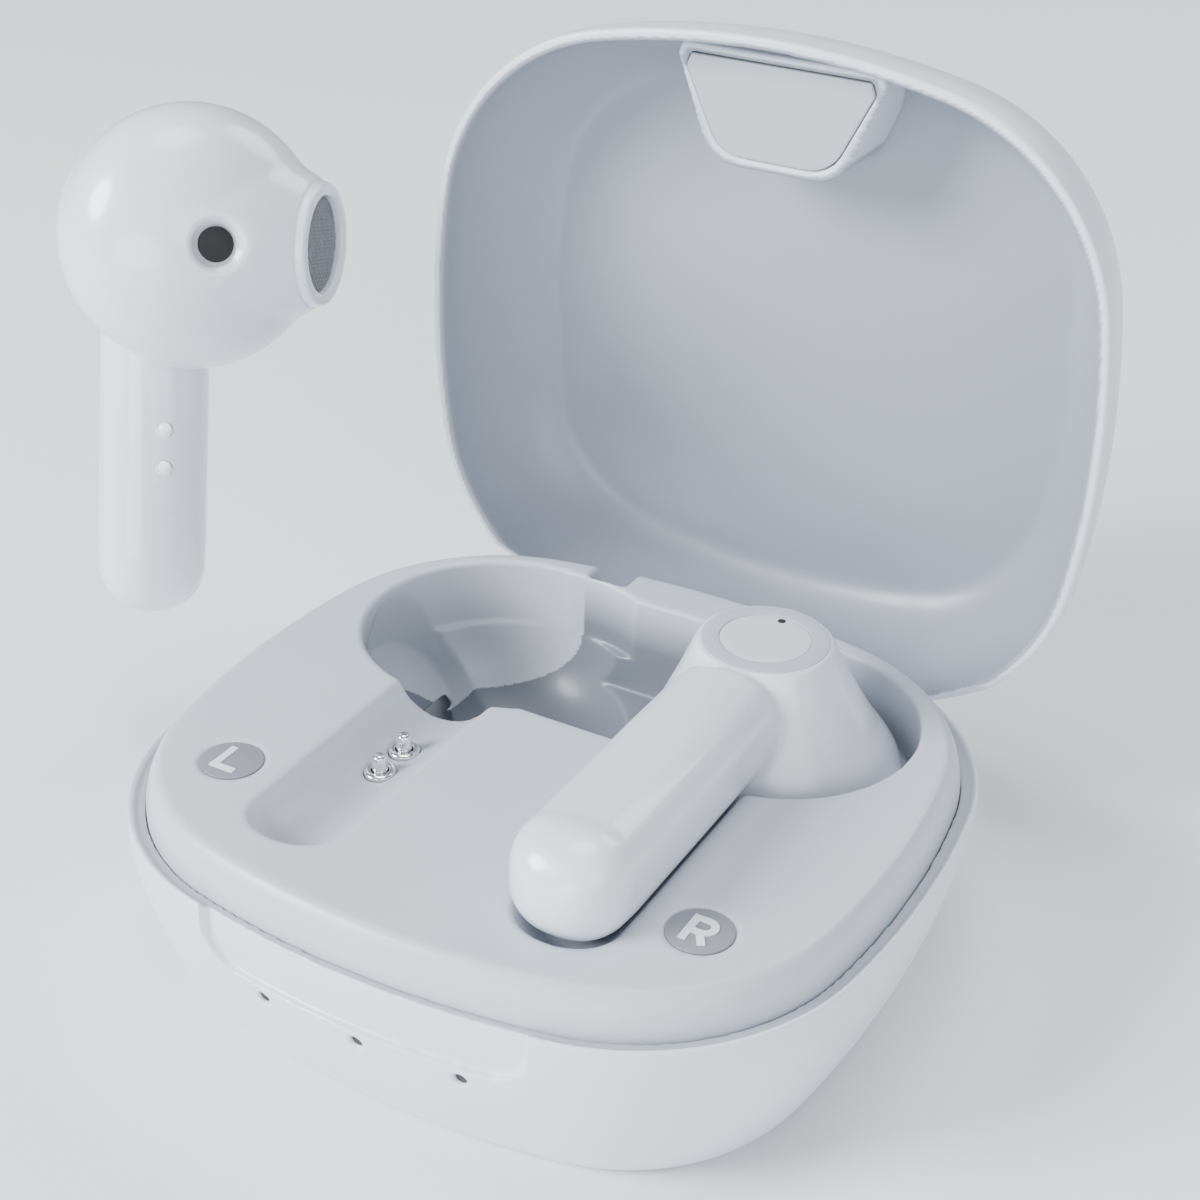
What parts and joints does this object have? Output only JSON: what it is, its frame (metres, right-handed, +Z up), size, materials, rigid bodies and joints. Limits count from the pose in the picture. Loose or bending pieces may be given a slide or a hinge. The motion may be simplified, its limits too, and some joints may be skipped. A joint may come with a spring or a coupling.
{
  "type": "wireless earbuds case",
  "caption": "Rounded-square charging case with open hinged lid, one earbud seated in its pocket and one held out beside the case.",
  "frame": {"origin": "centre of the flat bottom of the case", "axes": "+Z up out of the pockets, +Y towards the hinge, +X towards the seated right earbud"},
  "size_m": [0.0693, 0.057, 0.0527],
  "materials": {
    "case_plastic": "satin gloss, cool white",
    "tray_plastic": "satin gloss, cool white",
    "bud_plastic": "gloss, cool white",
    "mark_grey": "satin grey",
    "pin_metal": "bright plated",
    "pin_housing": "plain",
    "hinge_steel": "polished",
    "arm_plastic": "satin",
    "mesh_metal": "fine woven mesh, dark",
    "battery_foil": "foil pouch",
    "board_green": "solder mask",
    "chip_black": "moulded",
    "socket_steel": "stamped",
    "light_guide": "clear moulded",
    "magnet_nickel": "nickel plated",
    "driver_black": "moulded frame"
  },
  "bodies": {
    "base": {"base_shell": "case_plastic", "inner_tray": "tray_plastic", "side_marks": "mark_grey", "base_battery": "battery_foil", "main_board": "board_green", "usb_port": "socket_steel", "light_guides": "light_guide", "base_magnet": "magnet_nickel", "holding_magnets": "magnet_nickel", "hall_sensor": "chip_black", "hinge_pin": "hinge_steel", "left_pin_housings": "pin_housing", "right_pin_housings": "pin_housing"},
    "lid": {"lid_shell": "case_plastic", "catch_cover": "tray_plastic", "lid_magnet": "magnet_nickel", "left_hinge_arm": "arm_plastic", "right_hinge_arm": "arm_plastic"},
    "left_earbud": {"left_battery": "battery_foil", "left_board": "board_green", "left_contacts": "pin_metal", "left_driver": "driver_black", "left_ear_housing": "bud_plastic", "left_magnet": "magnet_nickel", "left_nozzle_mesh": "mesh_metal", "left_outer_housing": "bud_plastic", "left_touch_disc": "bud_plastic", "left_vent_mesh": "mesh_metal"},
    "right_earbud": {"right_battery": "battery_foil", "right_board": "board_green", "right_contacts": "pin_metal", "right_driver": "driver_black", "right_ear_housing": "bud_plastic", "right_magnet": "magnet_nickel", "right_nozzle_mesh": "mesh_metal", "right_outer_housing": "bud_plastic", "right_touch_disc": "bud_plastic", "right_vent_mesh": "mesh_metal"},
    "left_front_plunger": {"left_front_plunger": "pin_metal"},
    "left_rear_plunger": {"left_rear_plunger": "pin_metal"},
    "right_front_plunger": {"right_front_plunger": "pin_metal"},
    "right_rear_plunger": {"right_rear_plunger": "pin_metal"}
  },
  "joints": [
    {"name": "lid_hinge", "type": "hinge", "parent": "base", "child": "lid", "pos_m": [0, 0.0206, 0.0088], "axis": [-1, 0, 0], "range_deg": [-90, 0]},
    {"name": "right_earbud_lift", "type": "slide", "parent": "base", "child": "right_earbud", "axis": [-0.2924, 0, 0.9563], "range_m": [0, 0.022]},
    {"name": "left_earbud_raise", "type": "slide", "parent": "base", "child": "left_earbud", "axis": [0, 0, 1], "range_m": [0, 0.025]},
    {"name": "left_front_plunger_press", "type": "slide", "parent": "base", "child": "left_front_plunger", "axis": [0, 0, 1], "range_m": [-0.0008, 0], "stiffness_N_per_m": 200, "springref_m": 0.0004},
    {"name": "left_rear_plunger_press", "type": "slide", "parent": "base", "child": "left_rear_plunger", "axis": [0, 0, 1], "range_m": [-0.0008, 0], "stiffness_N_per_m": 200, "springref_m": 0.0004},
    {"name": "right_front_plunger_press", "type": "slide", "parent": "base", "child": "right_front_plunger", "axis": [0, 0, 1], "range_m": [-0.0002, 0], "stiffness_N_per_m": 200, "springref_m": 0.0004},
    {"name": "right_rear_plunger_press", "type": "slide", "parent": "base", "child": "right_rear_plunger", "axis": [0, 0, 1], "range_m": [-0.0002, 0], "stiffness_N_per_m": 200, "springref_m": 0.0004}
  ]
}
